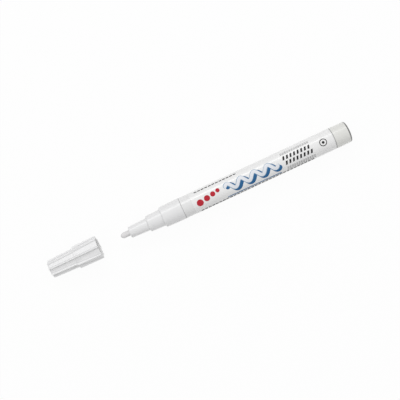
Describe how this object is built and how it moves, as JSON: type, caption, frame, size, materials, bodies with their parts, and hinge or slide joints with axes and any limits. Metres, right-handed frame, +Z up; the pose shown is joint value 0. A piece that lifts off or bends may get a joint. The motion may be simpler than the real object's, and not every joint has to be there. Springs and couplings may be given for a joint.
{
  "type": "paint marker",
  "caption": "Slim pump-action paint marker with a fine bullet nib, stepped mouthpiece, printed tube, tail plug and a ribbed cap pulled off in line with the nib.",
  "frame": {"origin": "on the table, under the middle of the marker and its cap", "axes": "+X along the marker from the nib toward the tail, +Z up from the table"},
  "size_m": [0.1772, 0.013, 0.013],
  "materials": {
    "white_cap": "satin moulded white",
    "natural_plastic": "natural milky plastic",
    "nib_fibre": "pressed white fibre",
    "white_front": "satin moulded white",
    "white_lacquer": "white lacquer on aluminium",
    "printed_film": "white printed film",
    "tail_plastic": "satin moulded warm white",
    "seal_rubber": "black rubber",
    "spring_steel": "drawn stainless wire",
    "ball_steel": "polished steel"
  },
  "bodies": {
    "barrel": {"front_section": "white_front", "valve_case": "natural_plastic", "valve_seat_seal": "seal_rubber", "spring_retainer": "natural_plastic", "valve_spring": "spring_steel", "barrel_tube": "white_lacquer", "label_film": "printed_film", "barrel_seal": "seal_rubber", "tail_plug": "tail_plastic"},
    "nib": {"nib": "nib_fibre"},
    "valve": {"valve_stem": "natural_plastic"},
    "cap": {"cap_shell": "white_cap", "cap_liner": "natural_plastic"},
    "ball": {"mixing_ball": "ball_steel"}
  },
  "joints": [
    {"name": "cap_slide", "type": "slide", "parent": "barrel", "child": "cap", "axis": [1, 0, 0], "range_m": [0, 0.0377]},
    {"name": "nib_press", "type": "slide", "parent": "barrel", "child": "nib", "axis": [1, 0, 0], "range_m": [0, 0.0012], "stiffness_N_per_m": 200, "springref_m": -0.0015},
    {"name": "valve_lift", "type": "slide", "parent": "barrel", "child": "valve", "axis": [1, 0, 0], "range_m": [0, 0.0012], "deforming": ["valve_spring"]},
    {"name": "ball_run", "type": "slide", "parent": "barrel", "child": "ball", "axis": [1, 0, 0], "range_m": [-0.0337, 0.03445]}
  ],
  "couplings": [
    {"joint": "valve_lift", "follows": "nib_press", "ratio": 1}
  ]
}
